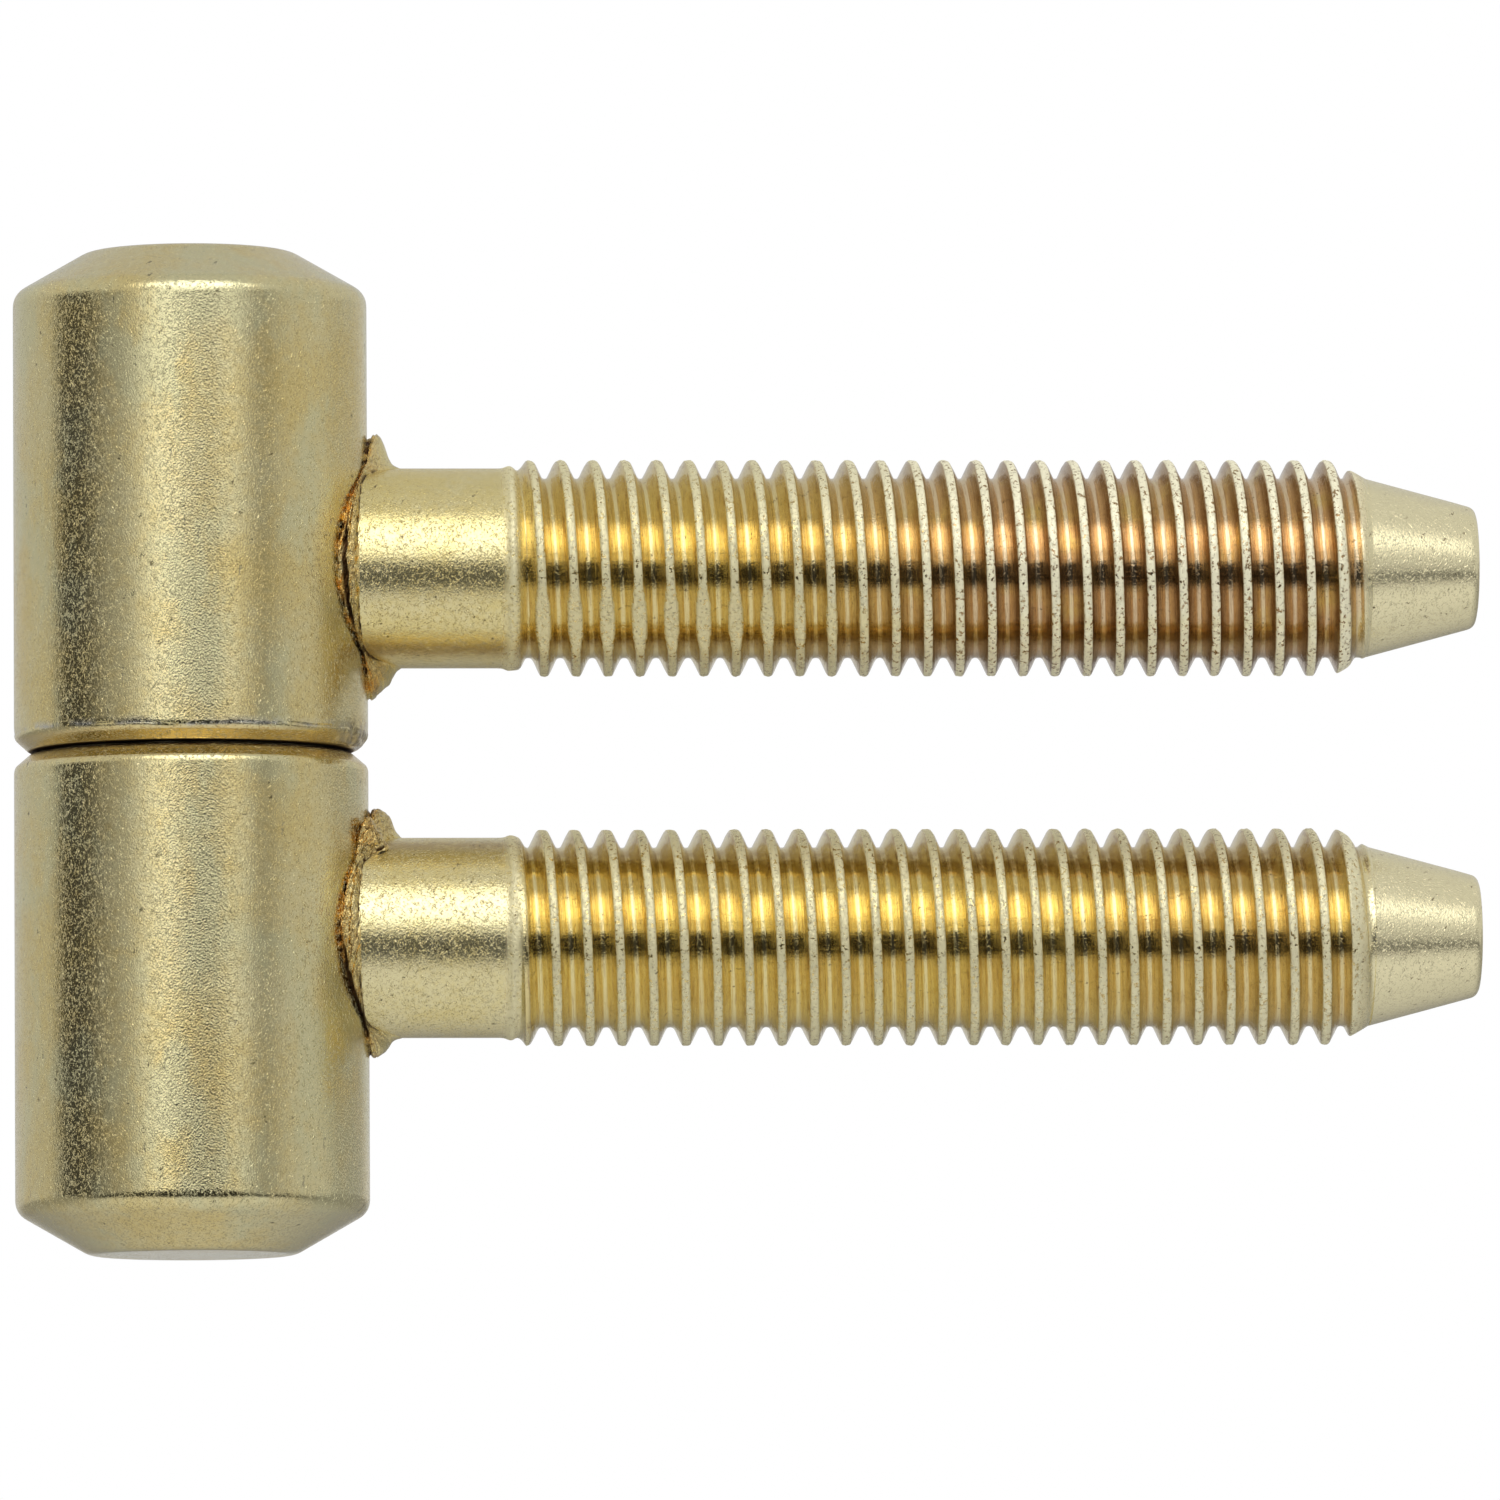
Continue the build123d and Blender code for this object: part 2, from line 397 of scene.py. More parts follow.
def stem_rows(turn, angle, crest_at, seed, jaw_marks):
    """Grids of x, radius and run-on above the crest: a foot on the barrel's round, the shank, the thread on
    rows that lean along its right-hand helix by one pitch in a turn, and the tip."""
    foot_r = shank_radius * np.array(foot_shares)[:, None] + 0 * turn
    foot_x = hinge_x + np.sqrt(barrel_radius**2 - (foot_r * np.cos(angle)) ** 2)
    share = np.linspace(0, 1, shank_rows)[1:, None]
    shank_x = foot_x[-1:] * (1 - share) + shank_end * share
    first = np.floor((shank_end - crest_at) / pitch) - 2
    turns = np.arange(first, np.ceil((taper_x - crest_at) / pitch) + 1)
    lean = crest_at + pitch * (turns[:, None] + pitch_phases).reshape(-1, 1)
    helix_x = np.clip(lean + pitch * turn, shank_end, taper_x)
    tip_radius = root_radius - (tip_x - taper_x) * tip_slope
    tip_corners = ((taper_x, root_radius), (tip_x, tip_radius), (tip_x - tip_dish, 0))
    tip = with_rows(rounded(tip_corners, (0, tip_round, 0)))
    tip_end = eased(tip_x - 1.2, tip_x - 0.2, tip[:, :1])
    tip_dents = tip_dent * ripple(turn, seed + 5) * tip_end * (tip[:, 1:] > 2)
    shank_r, shank_over = stem_radius(shank_x, turn, crest_at, seed, ())
    helix_r, helix_over = stem_radius(helix_x, turn, crest_at, seed, jaw_marks)
    return (
        np.vstack((foot_x, shank_x, helix_x, tip[:, :1] + 0 * turn)),
        np.vstack((foot_r, shank_r, helix_r, tip[:, 1:] - np.abs(tip_dents))),
        np.vstack((0 * foot_r - 1, shank_over, helix_over, 0 * tip_dents - 1)),
    )


def stem_grid(stem_z, crest_at, seed, jaw_marks, copper, film, painted_shade_band_turn):
    """Points, uv and marks of a stem; the second number of the uv counts the turns of the thread. copper is
    its strength, and where along x it sets in and is full."""
    turn, angle = once_round(stem_columns)
    x, radius, over = stem_rows(turn, angle, crest_at, seed, jaw_marks)
    points = np.stack((x, radius * np.cos(angle), stem_z + radius * np.sin(angle)), -1)
    uv = np.stack((turn + 0 * x, (x - crest_at) / pitch - turn), -1)
    tip = eased(taper_x - 0.9, taper_x + 0.1, x)
    cut = eased(thread_start + 0.1, thread_start + 0.8, x) * (1 - tip)
    bead = bell(x - thread_start - bead_on, 0.3) * (x < thread_start + 0.6)
    crest = np.maximum(eased(-0.07, 0.02, over) * cut, bead)
    marks = {
        "crest": crest,
        "pressed": crest * eased(-0.03, 0.03, thread_radius - pressed_flat(x, angle, jaw_marks)),
        "thread": cut,
        "climb": np.clip((radius - root_radius) / thread_depth, 0, 1) * cut,
        "copper": copper[0] * eased(copper[1], copper[2], x) * cut,
        "film": film + 0 * x,
        "tip": tip,
        # painted shade: a brown band along the side of each stem that faces the other stem
        "painted_shade_band": bell(from_front(angle) - painted_shade_band_turn, painted_shade_band_width) + 0 * x,
        # mask of the underside, where the copper gets painted shade
        "painted_shade_underside": eased(-0.1, 0.7, -np.sin(angle)) + 0 * x,
    }
    return points, uv, marks


leaf_jaws = ((216, 0.34, 8, 19), (84, 0.06, 8, 20))  # degrees, depth, and from where to where it fades
frame_jaws = ((95, 0.05, 6, 15),)
leaf_grid = stem_grid(
    leaf_stem_z, crest_at=0.6, seed=1, jaw_marks=leaf_jaws, copper=(1, 9, 24), film=0.55, painted_shade_band_turn=240
)
leaf_stem = skin("leaf_stem_threaded", *leaf_grid)
frame_grid = stem_grid(
    frame_stem_z, crest_at=1.15, seed=4, jaw_marks=frame_jaws, copper=(0.3, 20, 34), film=0.3, painted_shade_band_turn=117
)
frame_stem = skin("frame_stem_threaded", *frame_grid)

# %% [markdown]
# ## Weld flash
# The stem was pressed hot onto the barrel, and metal squeezed out between them: above and below a smooth
# flare with an ear, at the sides a crescent of folds between the barrel's round and the stem's straight end.
# Displacing a fillet would lose the folds, so a grid gives it: one parameter is the angle round the stem, the
# other the share of the way from the barrel up to the shank.
# %% Sizes of the weld flash
crescent_edge = 7.42  # from the hinge axis to the stem's end, at the sides
crescent_lean = 0.4  # and that much further above and below
ear_height = 1.7
ear_width = 19  # degrees
flash_levels = (-0.14, 0.02, 0.18, 0.38, 0.54, 0.66, 0.8, 0.97, 1.06)  # shares of the way up
plain_reach = (0.22, 0.3, 0.35, 0.33, 0.31, 0.3, 0.26, 0.17, -0.05)  # beyond the shank, at those levels
fold_places = ((0.08, 0.6, 0.05), (0.24, 0.5, 0.04), (0.66, 0.5, 0.04), (0.95, 1, 0.06))
fold_cut, lip_cut = 0.2, 0.1
valley_floor = 0.04  # half width of the deep valley where it runs out
blob_share_width = 0.45


def bent_line(controls, steps=13):
    """Smooth line near control values (n, columns): each inner control is bent from the middle of the stretch
    before it to the middle of the stretch after it. Both ends are kept."""
    before = np.concatenate((controls[:1], (controls[1:-2] + controls[2:-1]) / 2))
    after = np.concatenate((before[1:], controls[-1:]))
    return bent(before, controls[1:-1], after, steps)


# %% Folds of the weld flash


def small_folds(turn, share, tallness, seed):
    """Depth from 0 to 1 of the folds that run round the flash, each a bell about a wavering line."""
    fold = 0 * share
    for place, depth, width in fold_places:  # place is the share of the way up
        path = place + 0.07 * ripple(turn, seed + 3 * place)
        path = path + 0.04 * ripple(turn, seed + 5 * place, (23, 31, 41))
        strength = depth * (0.75 + 0.45 * ripple(turn, seed + 7 * place, (3, 4, 9, 14)))
        fold = np.maximum(fold, strength * bell((share - path) * tallness, width))
    return fold


def deep_valley(turn, angle, share, tallness, seed, valley):
    """Depth from 0 to 1 of the one deep valley, given by its angle, half its length in degrees, share of the
    way up and width: a wavering bell that narrows to both ends."""
    middle, half, valley_share, width = valley
    along = np.clip(1 - ((from_front(angle) - middle) / half) ** 2, 0, 1)
    path = valley_share + 0.05 * ripple(turn, seed + 6) + 0.05 * ripple(turn, seed + 8, (17, 27, 43))
    return along**0.5 * bell((share - path) * tallness, valley_floor + width * along)


# %% Weld flash round the foot of a stem


def flash_grid(stem_z, seed, ear_up, ear_down, blob, valley, around=288):
    """Points, uv and marks of weld flash. Its height at an angle is the way from the barrel's round to the
    stem's straight end, and more at the ears. Its reach beyond the shank swells to the ears, folds and a
    valley notch it, and a blob (angle, share of the way up, width in degrees, height) stands on it."""
    turn, angle = once_round(around)
    degrees = np.degrees(angle)
    above = bell((degrees + 90) % 360 - 180, ear_width)
    below = bell((degrees - 90) % 360 - 180, ear_width)
    side = (1 - above) * (1 - below)
    blob_turn, blob_share, blob_width, blob_height = blob
    blob_off = (degrees - blob_turn) / blob_width
    edge = crescent_edge + crescent_lean * np.sin(angle) ** 2 + ear_height * (above + below)
    edge = edge + blob_height * bell(blob_off, 1) * (1 - above)
    tallness = edge - np.sqrt(barrel_radius**2 - (shank_radius * np.cos(angle)) ** 2)
    levels, plain, up, down = (np.array(v)[:, None] for v in (flash_levels, plain_reach, ear_up, ear_down))
    lumps = 0.13 * ripple(turn, seed) + 0.09 * ripple(turn, seed + 0.9, (13, 19, 29))
    lumps = 1 + lumps * (0.3 + 0.7 * side)
    reach = bent_line((plain * side + up * above + down * below) * lumps)
    share = bent_line(levels + 0 * turn)
    deep = deep_valley(turn, angle, share, tallness, seed, valley)
    held = np.maximum(eased(0.25, 0.8, side), 1 - eased(0.2, 0.4, share)) * (1 - eased(1, 1.05, share))
    fold = np.maximum(small_folds(turn, share, tallness, seed), deep) * held
    lip_edge = 0.05 + 0.06 * above * ripple(turn, seed + 9, (31, 47, 63))
    lip = bell(share * tallness - lip_edge, 0.1 + 0.1 * above)
    lip = lip * (0.7 + 0.5 * ripple(turn, seed + 4, (5, 9, 16)) + above)
    from_blob = np.hypot(blob_off, (share - blob_share) / blob_share_width)
    crinkled = 1 + 0.3 * ripple(turn + 0.12 * share, seed, (37, 53, 71, 97))
    ridges = (0.02 + 0.05 * side) * ripple(turn + 0.13 * share, seed + 2, (41, 59, 83))
    raised = blob_height * bell(from_blob, 1) * crinkled + ridges
    radius = shank_radius + reach - fold_cut * fold - lip_cut * lip + raised
    y = radius * np.cos(angle)
    x = hinge_x + np.sqrt(np.maximum(barrel_radius**2 - y**2, 0)) + share * tallness
    points = np.stack((x, y, stem_z + radius * np.sin(angle)), -1)
    uv = np.stack((turn + 0 * share, share), -1)
    big_blob = eased(0.3, 0.6, blob_height)
    ear_face = above * big_blob * (1 - eased(0.7, 0.95, share))
    ear_foot = (above + below) * (1 - eased(0.2, 0.5, share))
    crescent = eased(0.12, 0.7, side) + bell(from_blob, 0.8) + 0.6 * ear_face + 0.5 * ear_foot
    crumple = bell(from_blob, 1.2) * big_blob + 0.7 * ear_face + 0.7 * ear_foot
    crumple = crumple + 0.8 * side * (1 - eased(0.85, 1, share))
    outer = 1 - eased(valley[2] - 0.05, valley[2] + 0.2, share)
    marks = {
        "fold": fold,
        "lip": np.clip(lip, 0, 1),
        "crescent": np.clip(crescent, 0, 1),
        "outer": np.maximum(outer, 0.6 * bell(from_blob, 1)),
        "crumple": np.clip(crumple, 0, 1),
        "valley": deep * held,
    }
    return points, uv, marks


# %% Both welds, with the reach of the upper and the lower ear at the levels
flash_sharp = 70
leaf_ears = (
    (1.42, 1.56, 1.62, 1.54, 1.02, 0.38, 0.12, 0.02, -0.05),
    (1.4, 1.5, 1.4, 1.06, 0.86, 0.74, 0.24, 0.02, -0.05),
)
frame_ears = (
    (1.25, 1.36, 1.36, 1.25, 1.07, 0.92, 0.28, 0.01, -0.05),
    (0.85, 0.93, 0.92, 0.76, 0.55, 0.22, 0.06, 0.01, -0.05),
)
leaf_weld = flash_grid(leaf_stem_z, 0.4, *leaf_ears, blob=(255, 0.2, 8, 0.1), valley=(188, 42, 0.4, 0.13))
leaf_flash = skin("leaf_weld_flash", *leaf_weld, sharp=flash_sharp)
frame_weld = flash_grid(frame_stem_z, 3.1, *frame_ears, blob=(121, 0.4, 9, 1), valley=(218, 40, 0.22, 0.2))
frame_flash = skin("frame_weld_flash", *frame_weld, sharp=flash_sharp)

# %% [markdown]
# ## Pin and ball
# The pin is ground bar, pressed into the frame barrel and oiled. The ball lies in a drilled seat in its head.
# A stock sphere and cylinder would have no seat and no soft edges, so both are turned about the hinge axis
# like the barrels. They show when the leaf half is lifted off.
# %% Pin and ball
ball_span = box_mm("thrust_ball")[:, 2]
ball_radius = np.ptp(ball_span) / 2
pin_foot_chamfer, pin_head_chamfer = 0.8, 0.7
seat_rim = 0.6
seat_radius = pin_radius - pin_head_chamfer - seat_rim
pin_turn, _ = once_round(128)
pin_corners = (
    (0, pin_low[2]),
    (pin_radius - pin_foot_chamfer, pin_low[2]),
    (pin_radius, pin_low[2] + pin_foot_chamfer),
    (pin_radius, pin_high[2] - pin_head_chamfer),
    (pin_radius - pin_head_chamfer, pin_high[2]),
    (seat_radius, pin_high[2]),
    (0, pin_high[2] - seat_radius / np.tan(drill_half_angle)),
)
pin_trims = (0, 0.1, 0.2, 0.25, 0.2, 0.06, 0)
pin_section = with_rows(rounded(pin_corners, pin_trims), step=0.5)
pin = skin("hinge_pin_ground", *carried_round(pin_section[:, :1], pin_section[:, 1:], pin_turn))
ball_tilt = np.linspace(-np.pi / 2, np.pi / 2, 65)[:, None]
ball_z = ball_span.mean() + ball_radius * np.sin(ball_tilt)
ball = skin("thrust_ball_polished", *carried_round(ball_radius * np.cos(ball_tilt), ball_z, pin_turn))

# %% [markdown]
# ## Small tools for finishes
# A finish is a tree of nodes. They can be placed by hand in the editor; in a script a few short helpers let a
# line say what is mixed with what. A joined node goes into the tree that its first linked input comes from.
# %% Node helpers


def plug(value, socket):
    """Links a node's output to a socket, or writes a number, a colour or a vector into it."""
    if isinstance(value, bpy.types.NodeSocket):
        socket.id_data.links.new(value, socket)
    elif socket.type == "RGBA":
        socket.default_value = (*value[:3], 1)
    else:
        socket.default_value = value


def add(tree, kind, inputs=None, **settings):
    """A new shader node with its settings, and with values or links on its inputs."""
    node = tree.nodes.new("ShaderNode" + kind)
    for key, value in settings.items():
        setattr(node, key, value)
    for key, value in (inputs or {}).items():
        plug(value, node.inputs[key])
    return node


def join(kind, inputs, **settings):
    """A new node in the tree that its first linked input comes from."""
    tree = next(value.id_data for value in inputs.values() if isinstance(value, bpy.types.NodeSocket))
    return add(tree, kind, inputs, **settings)


def calc(operation, *values):
    """Output of a Math node."""
    return join("Math", dict(enumerate(values)), operation=operation).outputs[0]


def times(a, b, plus=0):
    """a times b, with plus added."""
    return calc("MULTIPLY_ADD", a, b, plus)


def fade(value, low, high, start=0, end=1):
    """Smooth change from start where value is low to end where it is high."""
    inputs = {"Value": value, "From Min": low, "From Max": high, "To Min": start, "To Max": end}
    return join("MapRange", inputs, interpolation_type="SMOOTHSTEP").outputs["Result"]


def layered(color, *coats):
    """A colour under coats of (factor, colour), each of which covers what is there by its factor."""
    for factor, coat in coats:
        color = join("Mix", {0: factor, 6: color, 7: coat}, data_type="RGBA").outputs[2]
    return color


def new_group(name, inputs, outputs):
    """Shader node group: the group, what it is given and what it gives, by name."""
    group = bpy.data.node_groups.new(name, "ShaderNodeTree")
    for way, sockets in (("INPUT", inputs), ("OUTPUT", outputs)):
        for socket, kind in sockets.items():
            group.interface.new_socket(socket, in_out=way, socket_type=kind)
    print("effect", name, "gives", *outputs)
    return group, group.nodes.new("NodeGroupInput").outputs, group.nodes.new("NodeGroupOutput").inputs


def in_millimetres(tree):
    """Object coordinates in millimetres."""
    place = add(tree, "TexCoord").outputs["Object"]
    return join("VectorMath", {0: place, "Scale": 1 / MM}, operation="SCALE").outputs[0]


def stretched(place, factors):
    """A place with each of its coordinates multiplied by a factor."""
    return join("VectorMath", {0: place, 1: factors}, operation="MULTIPLY").outputs[0]


def noise(place, scale, detail=2, rough=0.5, curl=0):
    """Noise at a place; scale is the number of blotches to a unit of the place, and curl bends them."""
    inputs = {"Vector": place, "Scale": scale, "Detail": detail, "Roughness": rough, "Distortion": curl}
    return join("TexNoise", inputs).outputs["Fac"]


# %% [markdown]
# ## Effects that the platings share
# Yellow passivation is a film over the zinc, thicker and darker in some patches. The zinc has a fine grain
# that breaks up reflections, and handling leaves nicks and pits. All platings show these, so each is a node
# group, built once and placed with its own values. Painted maps could do it, but noise has no seams.
# %% Passivation film
FLOAT = "NodeSocketFloat"
COLOR = "NodeSocketColor"
speck_brown = (0.34, 0.27, 0.12)
film_group, film_in, film_out = new_group(
    "passivation_film",
    {"Thin": COLOR, "Thick": COLOR, "Patch Scale": FLOAT, "Extra": FLOAT, "Speckle": FLOAT},
    {"Color": COLOR, "Thickness": FLOAT},
)
place = in_millimetres(film_group)
wide = noise(place, film_in["Patch Scale"], 4, 0.6)
fine = noise(place, times(film_in["Patch Scale"], 14), 3)
depth = fade(calc("ADD", times(fine, 0.35, wide), film_in["Extra"]), 0.42, 0.95)
specks = times(fade(noise(place, 9, 2, 0.6), 0.42, 0.68), film_in["Speckle"])
plug(depth, film_out["Thickness"])
plug(layered(film_in["Thin"], (depth, film_in["Thick"]), (specks, speck_brown)), film_out["Color"])

# %% Zinc grain
grain_group, grain_in, grain_out = new_group(
    "plating_grain", {"Grain Scale": FLOAT, "Fine": FLOAT, "Dashes": FLOAT}, {"Height": FLOAT}
)
grain_place = in_millimetres(grain_group)


def short_dashes(lean, turn):
    """Raised short strokes: the peaks of a noise that is turned in space and then drawn out one way."""
    turning = {"Vector": grain_place, "Rotation": (0.3, lean, turn)}
    turned_place = join("VectorRotate", turning, rotation_type="EULER_XYZ").outputs[0]
    drawn_out = stretched(turned_place, (0.5, 1, 1))
    return fade(noise(drawn_out, times(grain_in["Grain Scale"], 0.7), 1, 0.5, 1.1), 0.6, 0.71)


fine = noise(stretched(grain_place, (1, 1, 0.75)), grain_in["Grain Scale"], 1.5, 0.6)
dashes = calc("SUBTRACT", short_dashes(1, 0.3), short_dashes(-0.8, -0.3))
plug(times(dashes, grain_in["Dashes"], times(fine, grain_in["Fine"])), grain_out["Height"])

# %% Nicks and pits from handling
scuff_group, scuff_in, scuff_out = new_group(
    "handling_scuffs", {"Cell Scale": FLOAT, "Amount": FLOAT}, {"Nick": FLOAT, "Pit": FLOAT}
)
scuff_place = in_millimetres(scuff_group)
scuff_chosen = calc("SUBTRACT", 1, scuff_in["Amount"])


def seldom_spots(factors, shape_scale, size):
    """Spots in a few cells of a pattern, drawn out by factors and chosen by each cell's random colour."""
    bending = {0: stretched(scuff_place, factors), 1: noise(scuff_place, 5)}
    place = join("VectorMath", bending, operation="ADD").outputs[0]
    scale = times(scuff_in["Cell Scale"], shape_scale)
    cells = join("TexVoronoi", {"Vector": place, "Scale": scale}).outputs
    lot = join("SeparateColor", {0: cells["Color"]}).outputs[0]
    return times(fade(cells["Distance"], size, 0.5 * size), calc("GREATER_THAN", lot, scuff_chosen))


plug(seldom_spots((4, 4, 0.8), shape_scale=1, size=0.22), scuff_out["Nick"])
plug(seldom_spots((1, 1, 1), shape_scale=3, size=0.3), scuff_out["Pit"])

# %% [markdown]
# ## Barrel plating
# The barrels are satin: pale yellow film over a fine zinc grain, golden where the weld's heat reached, grey
# where the rim was burred. A plain rough metal would look like paint, so the grain is a bump that scatters
# sharp reflections, and bands of light sparkle at their edges.
# %% Material helpers
MICROMETRE = 1e-6


def effect(tree, group, **inputs):
    """A shared effect in a material; underscores in the names of its inputs stand for spaces."""
    named = {key.replace("_", " "): value for key, value in inputs.items()}
    return add(tree, "Group", named, node_tree=group).outputs


def mark(tree, name):
    """A number that the mesh carries at each point."""
    return add(tree, "Attribute", attribute_name=name).outputs["Fac"]


def new_metal(name):
    """Metal material: the material, its node tree, its shader's inputs and the place in millimetres."""
    material = bpy.data.materials.new(name)
    material.use_nodes = True
    shader = material.node_tree.nodes["Principled BSDF"].inputs
    shader["Metallic"].default_value = 1
    return material, material.node_tree, shader, in_millimetres(material.node_tree)


def finish_metal(shader, color, roughness, height):
    """Links colour, roughness and a bump whose height is in micrometres."""
    plug(color, shader["Base Color"])
    plug(roughness, shader["Roughness"])
    bump = join("Bump", {"Height": height, "Distance": MICROMETRE})
    plug(bump.outputs[0], shader["Normal"])
    print("finish with", len(height.id_data.nodes), "nodes")


# %% Barrel plating
satin, film_dulling, seam_dulling = 0.1, 0.04, 0.4  # roughness
nick_height, pit_height, burr_height = -6, -6, 18  # micrometres
barrel_finish, tree, shader, place = new_metal("barrel_plating_satin")
film = effect(
    tree, film_group, Thin=(0.78, 0.7, 0.4), Thick=(0.785, 0.63, 0.265), Patch_Scale=0.16, Speckle=0.18
)
grain = effect(tree, grain_group, Grain_Scale=13, Fine=10.5, Dashes=23)
scuff = effect(tree, scuff_group, Cell_Scale=0.8, Amount=0.04)
# painted shade in the seam between the barrels
painted_seam_shade = mark(tree, "painted_seam_shade")
heat = times(mark(tree, "heat"), fade(noise(place, 0.45, 3), 0.25, 0.65))
burr = times(mark(tree, "rim"), fade(noise(place, 0.5, 4, 0.6), 0.42, 0.58))
blush = fade(noise(stretched(place, (1, 1, 0.6)), 0.3, 4, 0.6), 0.46, 0.64, 0, 0.85)
grime = times(mark(tree, "grime"), fade(noise(place, 2.4, 4, 0.65), 0.42, 0.62, 0, 0.8))
color = layered(
    film["Color"],
    (blush, (0.72, 0.675, 0.4)),
    (mark(tree, "bevel"), (0.76, 0.61, 0.29)),
    (heat, (0.74, 0.57, 0.22)),
    (times(burr, 0.75), (0.6, 0.59, 0.55)),
    (grime, (0.27, 0.2, 0.09)),
    # near-black painted seam shade
    (painted_seam_shade, (0.1, 0.055, 0.03)),
    (times(scuff["Pit"], 0.75), (0.2, 0.16, 0.08)),
    (times(scuff["Nick"], 0.5), (0.4, 0.36, 0.24)),
)
rough = times(painted_seam_shade, seam_dulling, times(film["Thickness"], film_dulling, satin))
height = times(scuff["Pit"], pit_height, times(scuff["Nick"], nick_height, grain["Height"]))
height = times(times(burr, noise(place, 6)), burr_height, height)
finish_metal(shader, color, rough, height)

# %% [markdown]
# ## Stem plating
# The stems are brighter than the barrels, and gold deepens in the thread because light bounces between its
# sides. Rolling burnishes those sides and leaves fine lines along the helix. They could be cut into the mesh,
# but noise along the UV map, whose second number counts the turns, gives them at no cost. The crests are
# rubbed pale, and the leaf stem runs to copper brown towards its tip. Rubbed crests and the haze on the shank
# scatter light, so they are a little less than fully metallic.
# %% Stem plating: wear, lines and stains
stem_finish, tree, shader, place = new_metal("stem_plating_bright")
thread, tip, copper_run, film_run = (mark(tree, name) for name in ("thread", "tip", "copper", "film"))
grain = effect(tree, grain_group, Grain_Scale=12, Fine=14, Dashes=20)
scuff = effect(tree, scuff_group, Cell_Scale=1.2, Amount=0.08)
crest = times(mark(tree, "crest"), fade(noise(place, 5, 3, 0.6), 0.34, 0.46))
burnished = times(thread, calc("SUBTRACT", 1, crest))
lead = add(tree, "UVMap", uv_map="UVMap").outputs["UV"]
roll_lines = noise(stretched(lead, (4, 15, 1)), 1, 3, 0.6)
stain_lines = noise(stretched(lead, (26, 13, 1)), 1, 4, 0.65)
off_root = fade(mark(tree, "climb"), 0.08, 0.5)
upper_side = fade(mark(tree, "climb"), 0.3, 0.9)
copper = times(copper_run, fade(noise(place, 0.5, 3), 0.15, 0.5))
# painted shade: brown band on the side facing the other stem, standing in for its dark reflection
painted_shade_band = times(mark(tree, "painted_shade_band"), fade(noise(place, 2.2, 4, 0.6), 0.24, 0.52, 0.3, 0.76))
stain = times(times(fade(stain_lines, 0.5, 0.66), burnished), times(upper_side, 0.4, 0.3))
flecks = fade(noise(place, 6, 3, 0.6), 0.55, 0.72, 0, 0.75)

# %% Stem plating: colours
shank_film = {"Thin": (0.81, 0.725, 0.42), "Thick": (0.8, 0.67, 0.29), "Extra": times(film_run, 0.5, -0.2)}
film = effect(tree, film_group, **shank_film, Patch_Scale=0.3, Speckle=0.04)
deep_gold = layered((0.83, 0.7, 0.33), (film["Thickness"], (0.79, 0.64, 0.3)))
# painted shade: the copper turns darker brown on each stem's underside
brown_painted_shade_below = layered((0.62, 0.43, 0.24), (off_root, (0.27, 0.165, 0.075)))
under = times(mark(tree, "painted_shade_underside"), 0.5)
brown = layered((0.8, 0.61, 0.38), (off_root, (0.45, 0.3, 0.15)), (under, brown_painted_shade_below))
crest_color = layered(
    (0.82, 0.755, 0.48),
    (copper_run, (0.9, 0.855, 0.63)),
    (mark(tree, "pressed"), (0.84, 0.76, 0.46)),
    (flecks, (0.36, 0.29, 0.16)),
)
color = layered(
    film["Color"],
    (thread, deep_gold),
    (times(upper_side, times(film_run, 0.36)), (0.55, 0.4, 0.17)),
    (copper, brown),
    # painted shade band where the stems face each other
    (painted_shade_band, (0.42, 0.29, 0.12)),
    (stain, (0.34, 0.2, 0.08)),
    (crest, crest_color),
    (tip, (0.88, 0.8, 0.51)),
    (times(scuff["Pit"], 0.85), (0.16, 0.11, 0.05)),
)

# %% Stem plating: shine and bump
shank_rough, burnishing, stain_dulling, crest_dulling = 0.21, 0.18, 0.08, 0.31
shank_haze, gold_rub, copper_rub = 0.06, 0.16, 0.38  # shares that aren't metallic
roll_height, nick_height, crest_height = 30, -8, 22  # micrometres
dulled = fade(stain_lines, 0.4, 0.54, stain_dulling, 0)
rough = times(burnished, calc("SUBTRACT", dulled, burnishing), shank_rough)
rough = times(crest, crest_dulling, rough)
rubbed = times(crest, fade(copper_run, 0, 1, gold_rub, copper_rub))
hazy = times(thread, -shank_haze, shank_haze)
plug(calc("SUBTRACT", 1, calc("ADD", rubbed, hazy)), shader["Metallic"])
smoothed = calc("MAXIMUM", burnished, times(tip, 0.5))
height = times(grain["Height"], fade(smoothed, 0, 1, 1, 0.16))
height = times(times(roll_lines, burnished), roll_height, height)
height = times(scuff["Nick"], nick_height, height)
height = times(times(noise(place, 7), crest), crest_height, height)
finish_metal(shader, color, rough, height)

# %% [markdown]
# ## Weld plating
# The flare is plated like the shank. In the folds the passivation ran thick, so the crescent is orange with
# dark brown lines, which run to near-black painted shade deep in the folds, the lip groove and the valley.
# They could come from a pattern, but the mesh knows where its folds are: a surer guide.
# %% Weld plating
bright, dark_dulling = 0.12, 0.3  # roughness
crinkle_plain, crinkle_crumpled = 45, 150  # micrometres
flash_finish, tree, shader, place = new_metal("weld_plating_uneven")
film = effect(
    tree, film_group, Thin=(0.81, 0.72, 0.4), Thick=(0.79, 0.65, 0.27), Patch_Scale=0.4, Speckle=0.06
)
grain = effect(tree, grain_group, Grain_Scale=12, Fine=12, Dashes=12)
crescent = times(mark(tree, "crescent"), fade(noise(place, 1.1, 3), 0.25, 0.6))
crumple = mark(tree, "crumple")
in_folds = fade(calc("MAXIMUM", mark(tree, "fold"), mark(tree, "lip")), 0.38, 0.8)
